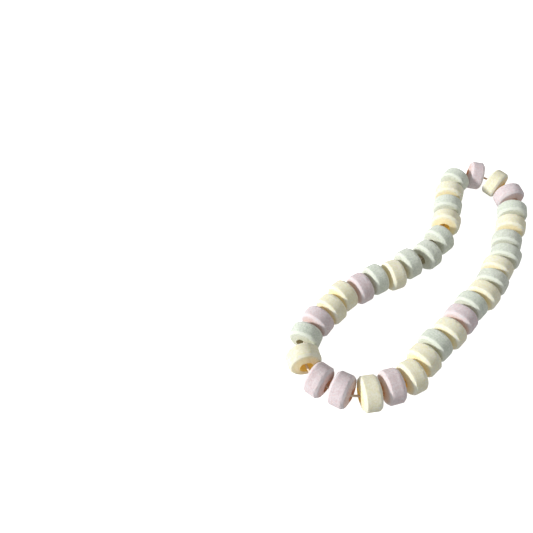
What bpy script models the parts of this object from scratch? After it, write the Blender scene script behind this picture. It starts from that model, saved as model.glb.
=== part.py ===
"""Candy necklace: pressed sugar beads in three pastel colours, threaded on a closed loop of elastic.

It lies on a table. Metres, +Z up. The origin is under the middle of the necklace, on the table.
X runs the long way of the loop, with the wide bend at the left end and the tight one at the right.
"""
import math
import random

import bpy
import numpy as np

MM = 0.001

# One bead: a turned ring with a flat band round its rim, a sloping shoulder beside the band on each end,
# and a low cone from the shoulder to the hole. These are the usual sizes, and the table of beads gives each
# bead's own diameter and thickness
BEAD_DIAMETER = 10.5 * MM
BAND_WIDTH = 3.7 * MM
SHOULDER_RISE = 0.7 * MM
SHOULDER_DEPTH = 0.65 * MM
HOLE_DIAMETER = 4.0 * MM
BEAD_SIDES = 24

# Pressed sweets differ a little from one to the next
UNEVEN_DIAMETER = 0.10 * MM
UNEVEN_BAND = 0.12 * MM
SEED = 35

# The elastic
ELASTIC_DIAMETER = 0.8 * MM
ELASTIC_POINTS = 72

# Beads that touch keep this gap, so that no two solids share a face
TOUCHING_GAP = 0.2 * MM

# The necklace's line on the table, in millimetres: from beside the first bead, past the inward bow of
# the back row, round the wide bend and along the front row to the tight bend
ROUTE = [
    (45.5, 17.0), (38.5, 15.5), (29.5, 11.5), (17.0, 6.0), (3.0, 7.0), (-13.5, 13.0),
    (-25.0, 17.0), (-41.0, 18.0), (-50.5, 14.5), (-55.0, 6.0), (-52.0, -5.5), (-43.5, -12.5),
    (-33.0, -16.0), (-8.0, -16.0), (11.0, -17.5), (29.5, -13.5), (47.0, -7.5), (54.0, -0.5),
    (55.0, 8.0), (52.0, 14.5),
]
ROUTE_MIDDLE = (0.14, 0.23)
ROUTE_STEPS = 100

# The first bead's middle lies this far along the line, counted from the route's first point
FIRST_BEAD_AT = 0.2 * MM

# The beads in their order on the elastic: colour, diameter, thickness, slack left after the bead, how far
# it sits to the left of the line, how far it is turned to the left of it, and how far the bead's far end is
# raised. Millimetres and degrees
BEADS = [
    ("green", 10.5, 6.2, 1.25, 0.00, 3, 0),
    ("yellow", 10.5, 6.3, 0.50, 0.25, 2, 0),
    ("green", 10.5, 6.7, 1.00, 0.50, -3, 0),
    ("yellow", 10.5, 6.9, 2.00, 0.50, -10, 10),
    ("green", 10.5, 6.8, 1.75, -0.25, -17, 0),
    ("green", 10.5, 6.8, 1.75, 0.25, -2, 0),
    ("green", 10.6, 6.7, 0.50, -0.75, 0, -4),
    ("yellow", 10.5, 6.5, 0.00, 0.75, -5, 0),
    ("green", 10.5, 6.4, 0.00, -0.50, 1, 0),
    ("pink", 10.5, 6.4, 0.25, 0.25, 4, 0),
    ("yellow", 10.7, 6.4, 0.00, -0.50, 1, 0),
    ("yellow", 10.6, 6.3, 0.25, 0.50, 1, 0),
    ("pink", 10.7, 6.2, 0.50, 0.25, 2, 0),
    ("green", 10.6, 6.2, 1.75, -0.25, -1, 1),
    ("yellow", 10.9, 6.7, 1.75, -0.25, 3, 11),
    ("pink", 10.9, 6.7, 0.75, 0.25, 2, 7),
    ("pink", 11.0, 7.0, 2.00, 0.75, -10, 9),
    ("yellow", 11.2, 7.0, 0.25, 0.25, -3, 3),
    ("pink", 11.1, 6.9, 0.50, 0.50, -4, 0),
    ("yellow", 10.9, 6.7, 0.50, 0.00, -13, 0),
    ("yellow", 10.8, 6.6, 0.00, 0.75, -6, 0),
    ("green", 10.8, 6.5, 0.00, 0.75, -6, 0),
    ("yellow", 10.7, 6.5, 0.25, -0.50, -4, 0),
    ("pink", 10.7, 6.5, 0.25, -0.50, 3, 0),
    ("green", 10.6, 6.4, 0.00, 0.25, 4, 0),
    ("yellow", 10.7, 6.2, 0.25, 0.00, 4, 0),
    ("green", 10.6, 6.2, 0.00, 0.25, 1, 0),
    ("yellow", 10.5, 6.2, 0.00, 0.50, -5, 0),
    ("green", 10.5, 6.4, 0.25, -0.75, -3, 0),
    ("green", 10.4, 6.5, 1.00, 0.25, 3, 0),
    ("yellow", 10.5, 6.7, 0.75, 0.25, 3, 0),
    ("green", 10.5, 6.5, 2.25, 0.50, 3, 0),
    ("pink", 10.5, 6.3, 1.75, 0.25, -3, 0),
    ("yellow", 10.5, 6.1, 2.25, 0.00, -4, 0),
    ("pink", 10.5, 6.1, 4.00, 0.00, 0, 0),
]

CANDY_COLOURS = {
    "green": (0.62, 0.71, 0.62, 1.0),
    "yellow": (0.80, 0.75, 0.52, 1.0),
    "pink": (0.75, 0.58, 0.60, 1.0),
}
ELASTIC_COLOUR = (0.85, 0.80, 0.68, 1.0)
CANDY_ROUGHNESS = 0.85
ELASTIC_ROUGHNESS = 0.6


def clear_scene():
    for thing in list(bpy.data.objects):
        bpy.data.objects.remove(thing, do_unlink=True)


def make_material(name, colour, roughness):
    material = bpy.data.materials.new(name)
    material.use_nodes = True
    shader = material.node_tree.nodes["Principled BSDF"]
    shader.inputs["Base Color"].default_value = colour
    shader.inputs["Roughness"].default_value = roughness
    shader.inputs["Metallic"].default_value = 0.0
    return material


def closed_curve(points, steps):
    """Points on a smooth closed curve, with this many steps from each given point to the next."""
    here = np.array(points)
    before = np.roll(here, 1, axis=0)
    after = np.roll(here, -1, axis=0)
    beyond = np.roll(here, -2, axis=0)
    rows = []
    for step in range(steps):
        t = step / steps
        straight = 2 * here + (after - before) * t
        bend = (2 * before - 5 * here + 4 * after - beyond) * t ** 2
        twist = (3 * here - before - 3 * after + beyond) * t ** 3
        rows.append((straight + bend + twist) / 2)
    return np.stack(rows, axis=1).reshape(-1, here.shape[1])


class Line:
    """A closed line that can be asked for its point and direction at any distance along it."""

    def __init__(self, points):
        self.points = np.vstack([points, points[:1]])
        steps = np.diff(self.points, axis=0)
        self.gone = np.concatenate([[0.0], np.cumsum(np.hypot(steps[:, 0], steps[:, 1]))])
        self.length = self.gone[-1]

    def point(self, distance):
        where = distance % self.length
        return np.array([np.interp(where, self.gone, self.points[:, axis]) for axis in range(2)])

    def direction(self, distance):
        step = self.point(distance + 0.5 * MM) - self.point(distance - 0.5 * MM)
        return step / np.linalg.norm(step)


def necklace_line():
    """The line of the necklace, moved so that the middle of the whole lies over the origin."""
    return Line((closed_curve(ROUTE, ROUTE_STEPS) - np.array(ROUTE_MIDDLE)) * MM)


def bead_sizes():
    """The radius, thickness and band width of each bead: the wider it is, the wider its band."""
    draw = random.Random(SEED)
    sizes = []
    for _, diameter, thickness, _, _, _, _ in BEADS:
        radius = (diameter * MM + draw.uniform(-UNEVEN_DIAMETER, UNEVEN_DIAMETER)) / 2
        band = BAND_WIDTH * diameter * MM / BEAD_DIAMETER + draw.uniform(-UNEVEN_BAND, UNEVEN_BAND)
        sizes.append((radius, thickness * MM, band))
    return sizes


def bead_places(line, sizes):
    """The centre, heading and slope of each bead, strung along the line until the loop closes."""
    thicknesses = [thickness for _, thickness, _ in sizes]
    spare = line.length - sum(thicknesses) - len(BEADS) * TOUCHING_GAP
    slack_share = spare / sum(slack for _, _, _, slack, _, _, _ in BEADS)
    places = []
    gone = FIRST_BEAD_AT
    for index, (_, _, _, slack, sideways, turned, raised) in enumerate(BEADS):
        along = line.direction(gone)
        left = np.array([-along[1], along[0]])
        centre = line.point(gone) + left * sideways * MM
        heading = math.atan2(along[1], along[0]) + math.radians(turned)
        places.append((centre, heading, math.radians(raised)))
        next_thickness = thicknesses[(index + 1) % len(BEADS)]
        gone += (thicknesses[index] + next_thickness) / 2 + TOUCHING_GAP + slack * slack_share
    return places


def bead_profile(radius, thickness, band):
    """Half of the cross-section, as (radius, height) pairs from the upper hole edge down the outside."""
    upper = [
        (HOLE_DIAMETER / 2, thickness / 2),
        (radius - SHOULDER_DEPTH, band / 2 + SHOULDER_RISE),
        (radius, band / 2),
    ]
    lower = [(across, -height) for across, height in reversed(upper)]
    return upper + lower


def make_bead(name, size, place, material, group, parent):
    """A ring turned from its cross-section and laid on its band: on a flat of it, or on its lower rim."""
    half_side = math.pi / BEAD_SIDES
    corners = []
    for across, height in bead_profile(*size):
        corners.append((across * math.cos(half_side), across * math.sin(half_side), height))
    edges = [(index, (index + 1) % len(corners)) for index in range(len(corners))]
    mesh = bpy.data.meshes.new(name)
    mesh.from_pydata(corners, edges, [])
    mesh.materials.append(material)
    bead = bpy.data.objects.new(name, mesh)
    group.objects.link(bead)

    turn = bead.modifiers.new("turned ring", "SCREW")
    turn.axis = "Z"
    turn.angle = math.tau
    turn.steps = BEAD_SIDES
    turn.render_steps = BEAD_SIDES
    turn.use_merge_vertices = True
    turn.merge_threshold = 0.01 * MM
    turn.use_smooth_shade = True

    centre, heading, slope = place
    radius, _, band = size
    height = radius * math.cos(half_side) * math.cos(slope) + band / 2 * abs(math.sin(slope))
    bead.location = (centre[0], centre[1], height)
    bead.rotation_euler = (0.0, math.pi / 2 - slope, heading)
    bead.parent = parent
    return bead


def make_elastic(line, material, group, parent):
    """The elastic runs along the line, through every hole, and closes on itself."""
    curve = bpy.data.curves.new("elastic", "CURVE")
    curve.dimensions = "3D"
    curve.bevel_depth = ELASTIC_DIAMETER / 2
    curve.bevel_resolution = 2
    run = [line.point(line.length * step / ELASTIC_POINTS) for step in range(ELASTIC_POINTS)]
    spline = curve.splines.new("POLY")
    spline.points.add(len(run) - 1)
    for point, (x, y) in zip(spline.points, run):
        point.co = (x, y, BEAD_DIAMETER / 2, 1.0)
    spline.use_cyclic_u = True
    spline.use_smooth = True
    curve.materials.append(material)
    elastic = bpy.data.objects.new("elastic", curve)
    group.objects.link(elastic)
    elastic.parent = parent
    return elastic


def make_necklace():
    group = bpy.data.collections.new("candy_necklace")
    bpy.context.scene.collection.children.link(group)
    whole = bpy.data.objects.new("candy_necklace", None)
    group.objects.link(whole)

    candy = {}
    for name, colour in CANDY_COLOURS.items():
        candy[name] = make_material(f"{name}_candy", colour, CANDY_ROUGHNESS)
    line = necklace_line()
    sizes = bead_sizes()
    places = bead_places(line, sizes)
    for number, (row, size, place) in enumerate(zip(BEADS, sizes, places), start=1):
        colour = row[0]
        make_bead(f"bead_{number:02d}_{colour}", size, place, candy[colour], group, whole)
    make_elastic(line, make_material("elastic", ELASTIC_COLOUR, ELASTIC_ROUGHNESS), group, whole)


clear_scene()
make_necklace()
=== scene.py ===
"""A candy necklace: 35 pressed sugar beads on a closed loop of elastic, lying on a pale table."""

import math

import bmesh
import bpy
import numpy as np
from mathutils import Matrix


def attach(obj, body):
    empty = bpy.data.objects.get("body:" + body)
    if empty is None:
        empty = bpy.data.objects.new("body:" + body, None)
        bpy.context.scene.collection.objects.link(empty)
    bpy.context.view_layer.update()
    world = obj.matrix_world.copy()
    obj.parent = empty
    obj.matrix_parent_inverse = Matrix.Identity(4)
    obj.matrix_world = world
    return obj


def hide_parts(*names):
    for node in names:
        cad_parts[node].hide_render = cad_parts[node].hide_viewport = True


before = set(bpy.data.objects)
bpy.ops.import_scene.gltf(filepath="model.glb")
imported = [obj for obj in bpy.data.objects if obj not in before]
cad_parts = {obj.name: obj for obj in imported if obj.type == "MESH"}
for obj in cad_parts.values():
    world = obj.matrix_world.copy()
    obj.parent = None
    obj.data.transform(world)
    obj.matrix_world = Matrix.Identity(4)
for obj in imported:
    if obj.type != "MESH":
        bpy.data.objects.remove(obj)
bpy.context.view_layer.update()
MM = 0.001


# The bead. Sugar powder is pressed in a round die between two punches, which leave a flat band round the
# rim, a sloping shoulder beside it on each end, and a low cone from there to the hole. The pin in the die
# leaves the hole. One bead is modelled here, lying on its end, and all the others are made from it.
BEAD_RADIUS = 5.2 * MM
BEAD_THICKNESS = 6.5 * MM
BAND_WIDTH = 3.7 * MM
HOLE_RADIUS = 2.0 * MM
SHOULDER_STEPS = [(0.08, 0.09), (0.25, 0.26), (0.25, 0.27), (0.07, 0.08)]  # inwards and upwards, in mm
CONE_RINGS = 9
CONE_POWER = 1.05
HOLE_CUTS = 20
BAND_CUTS = 16
ROUND_STEPS = 160
RIM_SOFTNESS = 0.05 * MM
RIM_STEPS = 3
CLOSE = 0.02 * MM


def pick_faces(mesh, test):
    """In edit mode, selects the faces whose middle and normal pass the test, and nothing else."""
    bpy.ops.mesh.select_mode(type="FACE")
    bpy.ops.mesh.select_all(action="DESELECT")
    shape = bmesh.from_edit_mesh(mesh)
    for face in shape.faces:
        face.select = bool(test(face.calc_center_median(), face.normal))
    shape.select_flush_mode()
    bmesh.update_edit_mesh(mesh)


def pick_edges(mesh, test):
    """In edit mode, selects the edges whose two ends pass the test, and nothing else."""
    bpy.ops.mesh.select_mode(type="EDGE")
    bpy.ops.mesh.select_all(action="DESELECT")
    shape = bmesh.from_edit_mesh(mesh)
    for edge in shape.edges:
        edge.select = bool(test(edge.verts[0].co, edge.verts[1].co))
    shape.select_flush_mode()
    bmesh.update_edit_mesh(mesh)


def across(point):
    """How far a point of the bead lies from the line through the middle of its hole."""
    return math.hypot(point.x, point.y)


def is_end(middle, normal):
    """True for the one face that closes an end of the bead."""
    return abs(normal.z) > 0.99 and across(middle) < CLOSE


def is_rim(a, b):
    """True for an edge that runs round a rim of the band or of the hole."""
    on_band = min(across(a), across(b)) > BEAD_RADIUS - CLOSE and abs(a.z) > BAND_WIDTH / 2 - CLOSE
    on_hole = max(across(a), across(b)) < HOLE_RADIUS + CLOSE and abs(a.z) > BEAD_THICKNESS / 2 - CLOSE
    return abs(a.z - b.z) < CLOSE and (on_band or on_hole)


def is_over_band(a, b):
    """True for a long edge that runs straight over the band."""
    return abs(a.z - b.z) > BAND_WIDTH / 2


bpy.ops.object.select_all(action="DESELECT")
bpy.ops.mesh.primitive_cylinder_add(vertices=ROUND_STEPS, radius=BEAD_RADIUS, depth=BAND_WIDTH)
first_bead = bpy.context.object
first_bead.name = "first_bead"
bpy.ops.object.mode_set(mode="EDIT")

# Each end is drawn in over the shoulder and then, ring by ring, up the cone to the edge of the hole
shoulder_width = sum(inwards for inwards, _ in SHOULDER_STEPS) * MM
shoulder_rise = sum(upwards for _, upwards in SHOULDER_STEPS) * MM
cone_rise = (BEAD_THICKNESS - BAND_WIDTH) / 2 - shoulder_rise
ring_width = (BEAD_RADIUS - shoulder_width - HOLE_RADIUS) / CONE_RINGS
for inwards, upwards in SHOULDER_STEPS:
    pick_faces(first_bead.data, is_end)
    bpy.ops.mesh.inset(thickness=inwards * MM, depth=upwards * MM)
for ring in range(CONE_RINGS):
    outer = 1 - ring / CONE_RINGS
    inner = 1 - (ring + 1) / CONE_RINGS
    pick_faces(first_bead.data, is_end)
    bpy.ops.mesh.inset(thickness=ring_width, depth=cone_rise * (outer ** CONE_POWER - inner ** CONE_POWER))

# The hole goes through from one end to the other
pick_faces(first_bead.data, is_end)
bpy.ops.mesh.bridge_edge_loops(number_cuts=HOLE_CUTS)

# The rims of the band and of the hole are softened, then the band gets its rows of faces
pick_edges(first_bead.data, is_rim)
bpy.ops.mesh.bevel(offset=RIM_SOFTNESS, segments=RIM_STEPS, affect="EDGES")
pick_edges(first_bead.data, is_over_band)
bpy.ops.mesh.subdivide(number_cuts=BAND_CUTS)
bpy.ops.mesh.select_all(action="SELECT")
bpy.ops.mesh.normals_make_consistent(inside=False)
bpy.ops.object.mode_set(mode="OBJECT")
bpy.ops.object.shade_smooth()

# Each point keeps its own place in the bead, in millimetres, for the patterns that go round the hole
own_place = first_bead.data.attributes.new("own_place", "FLOAT_VECTOR", "POINT")
for point, kept in zip(first_bead.data.vertices, own_place.data):
    kept.vector = point.co / MM

# The rims rub and chip against the next bead, so they are marked for it
CHIPPED_WIDTH = 0.5 * MM
rims = first_bead.vertex_groups.new(name="rims")
for point in first_bead.data.vertices:
    from_band_rim = math.hypot(across(point.co) - BEAD_RADIUS, abs(point.co.z) - BAND_WIDTH / 2)
    from_hole_rim = math.hypot(across(point.co) - HOLE_RADIUS, abs(point.co.z) - BEAD_THICKNESS / 2)
    near = 1 - min(from_band_rim, from_hole_rim) / CHIPPED_WIDTH
    if near > 0:
        rims.add([point.index], near, "REPLACE")


# The three candies. The sugar is dyed a pale green, yellow or pink before it is pressed. It is dry and
# chalky: mottled, with paler dust on the shoulders that is also a painted highlight there, grains that took
# more or no dye, and faint rings where the punches turned. The colour is deeper down in the hole, where no
# dust is rubbed on; a deeper, warmer colour over the cones and in the hole is also painted shade, with a
# painted glow in it.
CLOUD_SCALE = 260.0             # patterns to a metre, as in the next three
MOTTLE_SCALE = 1500.0
POWDER_SCALE = 3300.0
GRAIN_SCALE = 1500.0
LINES_ACROSS_BAND = 3.0         # patterns to a millimetre, as in the next one
RINGS_ACROSS_END = 3.2
BREAKS_ROUND = 0.7              # patterns to one radius, on the way round
NEXT_PATTERN = 9.0              # how far apart the patterns of two beads are
SHOULDER_START = (1.78, 1.92)   # along the hole from the bead's middle, in millimetres on the first bead
SHOULDER_END = (4.40, 4.62)     # from the middle of the hole, in millimetres, as in the next two
CONE_SHADE_START = (3.4, 4.75)
HOLE_EDGE = (1.98, 2.2)
MOTTLE_SHARE = 0.7              # how much of its own colour this and each of the next five brings
CLOUD_SHARE = 0.3
LINE_SHARE = 0.22
GRAIN_SHARE = 0.5
SHOULDER_DUST_AND_HIGHLIGHT_SHARE = 0.75
CONE_SHADE_SHARE = 0.3
POWDER_HEIGHT = 0.08 * MM
LIGHT_REACH = 0.25 * MM


class Tone:
    """A value, colour or vector of a material. Sums on it add the material's Math nodes."""

    def __init__(self, socket):
        self.socket = socket

    def node(self, kind, settings=None, values=None, result=0):
        """Any other node: its settings come first, then what its sockets hold or are joined to."""
        tree = self.socket.id_data
        made = tree.nodes.new("ShaderNode" + kind)
        for name, setting in (settings or {}).items():
            setattr(made, name, setting)
        for name, value in (values or {}).items():
            if isinstance(value, Tone):
                tree.links.new(value.socket, made.inputs[name])
            else:
                made.inputs[name].default_value = value
        return Tone(made.outputs[result])

    def also(self, result):
        """Another result of the same node."""
        return Tone(self.socket.node.outputs[result])

    def feed(self, shader, name):
        """Joins this to a socket of the shader."""
        self.socket.id_data.links.new(self.socket, shader.inputs[name])

    def sum(self, operation, first, second):
        return self.node("Math", {"operation": operation}, {0: first, 1: second})

    def __add__(self, other):
        return self.sum("ADD", self, other)

    def __radd__(self, other):
        return self.sum("ADD", other, self)

    def __sub__(self, other):
        return self.sum("SUBTRACT", self, other)

    def __rsub__(self, other):
        return self.sum("SUBTRACT", other, self)

    def __mul__(self, other):
        return self.sum("MULTIPLY", self, other)

    def __rmul__(self, other):
        return self.sum("MULTIPLY", other, self)

    def __truediv__(self, other):
        return self.sum("DIVIDE", self, other)

    def __rtruediv__(self, other):
        return self.sum("DIVIDE", other, self)

    def __pow__(self, other):
        return self.sum("POWER", self, other)

    def absolute(self):
        return self.node("Math", {"operation": "ABSOLUTE"}, {0: self})

    def sine(self):
        return self.node("Math", {"operation": "SINE"}, {0: self})

    def parts(self):
        """The x, y and z of a vector, or the red, green and blue of a colour."""
        x = self.node("SeparateXYZ", values={"Vector": self}, result="X")
        return x, x.also("Y"), x.also("Z")

    def over(self, low, high):
        """0 below low, 1 above high, and smooth between them."""
        return self.node("MapRange", {"interpolation_type": "SMOOTHSTEP"}, {
            "Value": self, "From Min": low, "From Max": high, "To Min": 0.0, "To Max": 1.0})

    def between(self, first, second):
        """From the first colour to the second as this value goes from 0 to 1."""
        return self.node("Mix", {"data_type": "RGBA"}, {"Factor": self, "A": first, "B": second}, "Result")

    def noise(self, scale, detail=2.0, roughness=0.5):
        return self.node("TexNoise", None, {
            "Vector": self, "Scale": scale, "Detail": detail, "Roughness": roughness})

    def kept(self, name, result="Fac"):
        """What the points of a piece keep under this name."""
        return self.node("Attribute", {"attribute_name": name}, result=result)


def new_material(name):
    """A material, its shader and the places of its points."""
    material = bpy.data.materials.new(name)
    material.use_nodes = True
    shader = material.node_tree.nodes["Principled BSDF"]
    place = Tone(material.node_tree.nodes.new("ShaderNodeTexCoord").outputs["Object"])
    return material, shader, place


def pressed_sugar(name, dyed, dusty, strong, deep_and_shade, dull, glow, speckle, painted_glow_strength):
    """One candy. dyed is its sugar, dusty the dust on it, strong a grain with more dye, deep the hole's
    undusted colour, which is also painted as shade over the cones and in the hole, and dull the sugar of a
    duller bead.
    glow is how far red, green and blue light get in, speckle how strongly the powder is speckled, and
    painted_glow_strength how brightly the painted glow on the cones and in the hole shines."""
    material, shader, place = new_material(name)
    x, y, along = place.kept("own_place", "Vector").parts()
    radius = (x * x + y * y) ** 0.5

    # Mottled dust over the dyed sugar, and specks of powder that took more dye or none
    cloudy = place.noise(CLOUD_SCALE, 2.0, 0.5)
    mottle = place.noise(MOTTLE_SCALE, 2.0, 0.6)
    fine = place.noise(POWDER_SCALE, 1.0, 0.5)
    sugar = place.kept("dullness").between(dyed, dull)
    dust = mottle.over(0.36, 0.64) * MOTTLE_SHARE + cloudy.over(0.4, 0.7) * CLOUD_SHARE
    colour = dust.between(sugar, dusty)
    colour = (fine.over(0.50, 0.64) * speckle).between(colour, strong)
    colour = ((1 - fine).over(0.52, 0.66) * speckle).between(colour, dusty)

    # Faint lines round the band and rings on the ends, another set on each bead
    turned = place.node("CombineXYZ", values={
        "X": along * LINES_ACROSS_BAND + cloudy,
        "Y": x / radius * BREAKS_ROUND,
        "Z": y / radius * BREAKS_ROUND})
    lines = turned.node("TexNoise", {"noise_dimensions": "4D"}, {
        "Vector": turned, "W": radius * RINGS_ACROSS_END + place.kept("pattern") * NEXT_PATTERN,
        "Scale": 1.0, "Detail": 1.0, "Roughness": 0.5})
    colour = (lines.over(0.52, 0.7) * LINE_SHARE).between(colour, strong)

    # Single grains that took more dye, and the paler dust that lies on the shoulders, which also serves as a
    # painted highlight on them
    cells = place.node("TexVoronoi", None, {"Vector": place, "Scale": GRAIN_SCALE})
    few = cells.also("Color").parts()[0].over(0.80, 0.84)
    grains = (1 - cells.over(0.12, 0.24)) * few
    colour = (grains * GRAIN_SHARE).between(colour, strong)
    shoulder = along.absolute().over(*SHOULDER_START) * radius.over(*SHOULDER_END)
    colour = (shoulder * SHOULDER_DUST_AND_HIGHLIGHT_SHARE).between(colour, dusty)

    # The colour gets deeper towards the hole and inside it. In the hole this is undusted sugar. Over the
    # cones and in the hole it is also painted shade, warm and dark where the beads shade each other's ends
    cone = 1 - radius.over(*CONE_SHADE_START)
    hole = 1 - radius.over(*HOLE_EDGE)
    colour = (cone * CONE_SHADE_SHARE).between(colour, deep_and_shade)
    hole.between(colour, deep_and_shade).feed(shader, "Base Color")

    # A painted glow: the cones and the hole give off light in their deeper colour, standing in for light let
    # through the pressed sugar and passed between the beads in their shade
    (cone * 0.4 + hole * 0.6).between((0, 0, 0, 1), deep_and_shade).feed(shader, "Emission Color")
    shader.inputs["Emission Strength"].default_value = painted_glow_strength

    # A dry, powdery surface that light goes into for a fraction of a millimetre
    height = fine * 0.6 + mottle * 0.5 + lines * 0.2 - grains * 0.2
    powder = height.node("Bump", None, {"Strength": 0.35, "Distance": POWDER_HEIGHT, "Height": height})
    powder.feed(shader, "Normal")
    (0.82 + fine * 0.15).feed(shader, "Roughness")
    shader.inputs["Diffuse Roughness"].default_value = 0.3
    shader.inputs["Specular IOR Level"].default_value = 0.3
    shader.inputs["Subsurface Weight"].default_value = 0.2
    shader.inputs["Subsurface Radius"].default_value = glow
    shader.inputs["Subsurface Scale"].default_value = LIGHT_REACH
    return material


candies = {
    "green": pressed_sugar(
        "green_candy", dyed=(0.58, 0.62, 0.54, 1), dusty=(0.71, 0.74, 0.66, 1), strong=(0.41, 0.48, 0.39, 1),
        deep_and_shade=(0.40, 0.37, 0.24, 1), dull=(0.56, 0.57, 0.50, 1), glow=(0.9, 1.0, 0.7),
        speckle=0.55, painted_glow_strength=0.12),
    "yellow": pressed_sugar(
        "yellow_candy", dyed=(0.73, 0.70, 0.51, 1), dusty=(0.81, 0.80, 0.67, 1), strong=(0.67, 0.59, 0.36, 1),
        deep_and_shade=(0.80, 0.56, 0.13, 1), dull=(0.70, 0.65, 0.46, 1), glow=(1.0, 0.75, 0.3),
        speckle=0.2, painted_glow_strength=0.16),
    "pink": pressed_sugar(
        "pink_candy", dyed=(0.61, 0.52, 0.53, 1), dusty=(0.71, 0.65, 0.66, 1), strong=(0.54, 0.40, 0.43, 1),
        deep_and_shade=(0.60, 0.33, 0.20, 1), dull=(0.62, 0.52, 0.50, 1), glow=(1.0, 0.6, 0.5),
        speckle=0.3, painted_glow_strength=0.11),
}


# The beads on the table. Each one is a copy of the first, made to its own size, laid on its band where the
# CAD bead lies, and then given its own lumps, grain and chips. Some have lost their dust and are duller.
DULLER = {"06": 0.5, "07": 0.5, "16": 0.3, "19": 0.4, "27": 1.0, "29": 0.6, "30": 1.0}
CAD_FLATS = 24
CAD_RIM = 0.1 * MM
LUMP_SIZE, LUMP_HEIGHT, LUMP_LEVEL = 3.2 * MM, 0.035 * MM, 0.55
GRAIN_SIZE, GRAIN_HEIGHT, GRAIN_LEVEL = 0.5 * MM, 0.03 * MM, 0.65
CHIP_SIZE, CHIP_DEPTH, CHIP_LEVEL = 0.9 * MM, 0.08 * MM, 1.0


def lie_of(node):
    """The middle of a CAD bead, the way its hole points, its radius to a flat, thickness and band width."""
    corners = np.array([point.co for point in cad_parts[node].data.vertices])
    corners = np.unique(np.round(corners, 6), axis=0)
    middle = corners.mean(axis=0)
    from_middle = corners - middle
    along = np.linalg.svd(from_middle, full_matrices=False)[2][2]
    reach = from_middle @ along
    sideways = np.linalg.norm(from_middle - np.outer(reach, along), axis=1)
    rim = sideways > sideways.max() - CAD_RIM
    flat_radius = sideways.max() * math.cos(math.pi / CAD_FLATS)
    return middle, along, flat_radius, np.ptp(reach), 2 * np.abs(reach[rim]).mean()


def wear(piece, texture, height, level, group=""):
    """Moves the surface in and out by a texture, once and for all. Where that is at level, it stays."""
    change = piece.modifiers.new(texture.name, "DISPLACE")
    change.texture = texture
    change.texture_coords = "LOCAL"
    change.direction = "NORMAL"
    change.mid_level = level
    change.strength = height
    change.vertex_group = group
    bpy.context.view_layer.objects.active = piece
    bpy.ops.object.modifier_apply(modifier=change.name)


def keep(piece, name, value):
    """Every point of the piece keeps this value."""
    kept = piece.data.attributes.new(name, "FLOAT", "POINT")
    kept.data.foreach_set("value", [value] * len(piece.data.vertices))


lumps = bpy.data.textures.new("lumps", "CLOUDS")
lumps.noise_scale = LUMP_SIZE
grain = bpy.data.textures.new("grain", "CLOUDS")
grain.noise_scale = GRAIN_SIZE
grain.noise_depth = 3
chips = bpy.data.textures.new("chips", "CLOUDS")
chips.noise_scale = CHIP_SIZE
chips.contrast = 4.0
chips.intensity = 0.75

beads = sorted(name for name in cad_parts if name.startswith("bead_"))
lies = {node: lie_of(node) for node in beads}
for node, following in zip(beads, beads[1:] + beads[:1]):
    middle, along, radius, thickness, band = lies[node]
    number, colour = node.split("_")[1:]
    if along @ (lies[following][0] - middle) < 0:
        along = -along
    candy = first_bead.copy()
    candy.data = first_bead.data.copy()
    candy.name = candy.data.name = f"candy_{number}_{colour}"
    bpy.context.scene.collection.objects.link(candy)
    for point in candy.data.vertices:
        flat = max(-BAND_WIDTH / 2, min(BAND_WIDTH / 2, point.co.z))
        raised = (point.co.z - flat) * (thickness - band) / (BEAD_THICKNESS - BAND_WIDTH)
        point.co.z = flat * band / BAND_WIDTH + raised
    candy.location = middle
    candy.rotation_euler = (0.0, math.acos(along[2]), math.atan2(along[1], along[0]))
    candy.scale = (radius / BEAD_RADIUS, radius / BEAD_RADIUS, 1.0)
    bpy.ops.object.select_all(action="DESELECT")
    candy.select_set(True)
    bpy.context.view_layer.objects.active = candy
    bpy.ops.object.transform_apply(location=True, rotation=True, scale=True)
    wear(candy, lumps, LUMP_HEIGHT, LUMP_LEVEL)
    wear(candy, grain, GRAIN_HEIGHT, GRAIN_LEVEL)
    wear(candy, chips, CHIP_DEPTH, CHIP_LEVEL, "rims")
    lowest = min(point.co.z for point in candy.data.vertices)
    for point in candy.data.vertices:
        point.co.z -= lowest
    keep(candy, "dullness", DULLER.get(number, 0.0))
    keep(candy, "pattern", float(number))
    candy.data.materials.clear()
    candy.data.materials.append(candies[colour])
    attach(candy, "root")
    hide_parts(node)
bpy.data.objects.remove(first_bead)


# The elastic. A thin thread of rubber, wound round with fine off-white yarn, goes through all the holes.
# Its two ends are tied in one small knot, which is pulled into a bead and isn't seen.
ELASTIC_THICKNESS = 0.8 * MM
ELASTIC_HEIGHT = 5.25 * MM
ROUTE_MIDDLE = (0.14, 0.23)     # in millimetres, as the spots of the route are
ROUTE = [
    (45.5, 17.0), (38.5, 15.5), (29.5, 11.5), (17.0, 6.0), (3.0, 7.0), (-13.5, 13.0),
    (-25.0, 17.0), (-41.0, 18.0), (-50.5, 14.5), (-55.0, 6.0), (-52.0, -5.5), (-43.5, -12.5),
    (-33.0, -16.0), (-8.0, -16.0), (11.0, -17.5), (29.5, -13.5), (47.0, -7.5), (54.0, -0.5),
    (55.0, 8.0), (52.0, 14.5),
]
STEPS_BETWEEN = 24
HANDLE_PARTS = 6                # a handle is one part in six of the way between its spot's neighbours
WINDINGS = 21.0                 # of the yarn, in radians to a millimetre
YARN_SCALE = 9000.0

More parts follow.
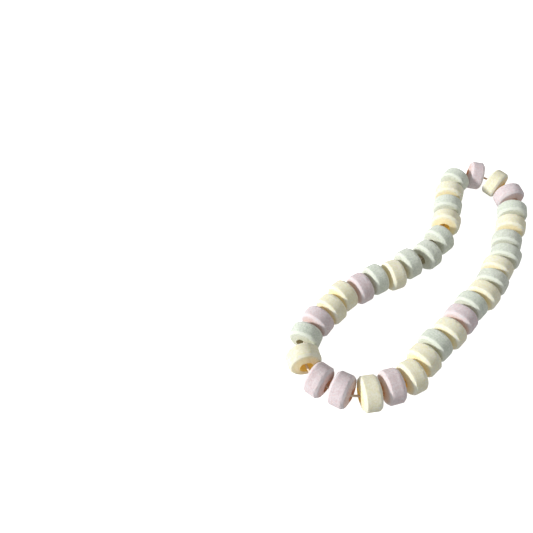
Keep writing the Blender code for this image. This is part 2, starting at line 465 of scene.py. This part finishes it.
bpy.ops.object.select_all(action="DESELECT")
thread_line = bpy.data.curves.new("thread", "CURVE")
thread_line.dimensions = "3D"
thread_line.bevel_depth = ELASTIC_THICKNESS / 2
thread_line.bevel_resolution = 4
thread_line.resolution_u = STEPS_BETWEEN
run = thread_line.splines.new("BEZIER")
run.bezier_points.add(len(ROUTE) - 1)
run.use_cyclic_u = True
spots = np.array([(x - ROUTE_MIDDLE[0], y - ROUTE_MIDDLE[1], ELASTIC_HEIGHT / MM) for x, y in ROUTE]) * MM
handles = (np.roll(spots, -1, axis=0) - np.roll(spots, 1, axis=0)) / HANDLE_PARTS
for point, spot, handle in zip(run.bezier_points, spots, handles):
    point.handle_left_type = point.handle_right_type = "FREE"
    point.co = spot
    point.handle_left = spot - handle
    point.handle_right = spot + handle
thread = bpy.data.objects.new("thread", thread_line)
bpy.context.scene.collection.objects.link(thread)
thread.select_set(True)
bpy.context.view_layer.objects.active = thread
bpy.ops.object.convert(target="MESH")
thread = bpy.context.object
bpy.ops.object.shade_smooth()

# Each ring of points keeps its way along the thread, in millimetres, for the windings of the yarn
rings = len(ROUTE) * STEPS_BETWEEN
ring_size = len(thread.data.vertices) // rings
corners = np.array([point.co for point in thread.data.vertices]).reshape(rings, ring_size, 3)
centres = corners.mean(axis=1)
steps = np.linalg.norm(np.diff(centres, axis=0), axis=1) / MM
way = thread.data.attributes.new("way", "FLOAT", "POINT")
way.data.foreach_set("value", np.repeat(np.concatenate([[0.0], np.cumsum(steps)]), ring_size))

material, shader, place = new_material("wound_elastic")
wound = (place.kept("way") * WINDINGS).sine() * 0.5 + 0.5
yarn = place.noise(YARN_SCALE, 2.0, 0.6) * 0.5 + wound * 0.5
# The off-white yarn is coloured a darker tan, as painted shade for the shade the thread lies in between the
# beads
yarn.over(0.2, 0.7).between((0.60, 0.50, 0.38, 1), (0.80, 0.72, 0.60, 1)).feed(shader, "Base Color")
yarn.node("Bump", None, {"Strength": 0.6, "Distance": 0.06 * MM, "Height": yarn}).feed(shader, "Normal")
shader.inputs["Roughness"].default_value = 0.75
thread.data.materials.clear()
thread.data.materials.append(material)
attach(thread, "root")
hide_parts("elastic")


# The table: a plain white light board, much wider than the necklace, in an evenly lit white room. The beads
# aren't lit by the board itself, but by the room's even light from all sides.
TABLE_SIZE = 4.0
TABLE_LIGHT = 0.8
ROOM_LIGHT = 0.51

bpy.ops.object.select_all(action="DESELECT")
bpy.ops.mesh.primitive_plane_add(size=TABLE_SIZE, location=(0, 0, 0))
table = bpy.context.object
table.name = "table"
table.visible_diffuse = False
material, shader, place = new_material("pale_board")
place.noise(3.0).between((0.93, 0.93, 0.93, 1), (0.94, 0.94, 0.94, 1)).feed(shader, "Base Color")
shader.inputs["Roughness"].default_value = 0.8
shader.inputs["Specular IOR Level"].default_value = 0.1
shader.inputs["Emission Color"].default_value = (1.0, 1.0, 1.0, 1)
shader.inputs["Emission Strength"].default_value = TABLE_LIGHT
table.data.materials.append(material)

room = bpy.data.worlds.new("room")
room.use_nodes = True
room.node_tree.nodes["Background"].inputs["Color"].default_value = (1.0, 1.0, 1.0, 1)
room.node_tree.nodes["Background"].inputs["Strength"].default_value = ROOM_LIGHT
bpy.context.scene.world = room

# A soft round lamp stands low on the viewer's left and is turned towards the necklace
LAMP_PLACE = (-0.99, 0.83, 0.53)
LAMP_SIZE = 0.20
LAMP_POWER = 21.0
lamp = bpy.data.lights.new("key_lamp", "AREA")
lamp.shape = "DISK"
lamp.size = LAMP_SIZE
lamp.energy = LAMP_POWER
holder = bpy.data.objects.new("key_lamp", lamp)
bpy.context.scene.collection.objects.link(holder)
x, y, z = LAMP_PLACE
holder.location = LAMP_PLACE
holder.rotation_euler = (math.atan2(math.hypot(x, y), z), 0.0, math.atan2(-y, -x) - math.pi / 2)

# The camera stands beyond the loop's wide end and looks down along it. Its angles are in degrees, downwards
# from level and round from the necklace's length.
CAMERA_PLACE = (-112.12 * MM, -25.36 * MM, 160.42 * MM)
LOOKS_DOWN = 56.0
LOOKS_ROUND = 42
eye = bpy.data.cameras.new("eye")
eye.lens = 36.0
eye.sensor_width = 36.0
eye.clip_start = 0.005
viewer = bpy.data.objects.new("eye", eye)
bpy.context.scene.collection.objects.link(viewer)
viewer.location = CAMERA_PLACE
viewer.rotation_euler = (math.radians(90 - LOOKS_DOWN), 0.0, math.radians(LOOKS_ROUND - 90))
bpy.context.scene.camera = viewer
bpy.context.scene.view_settings.view_transform = "Standard"
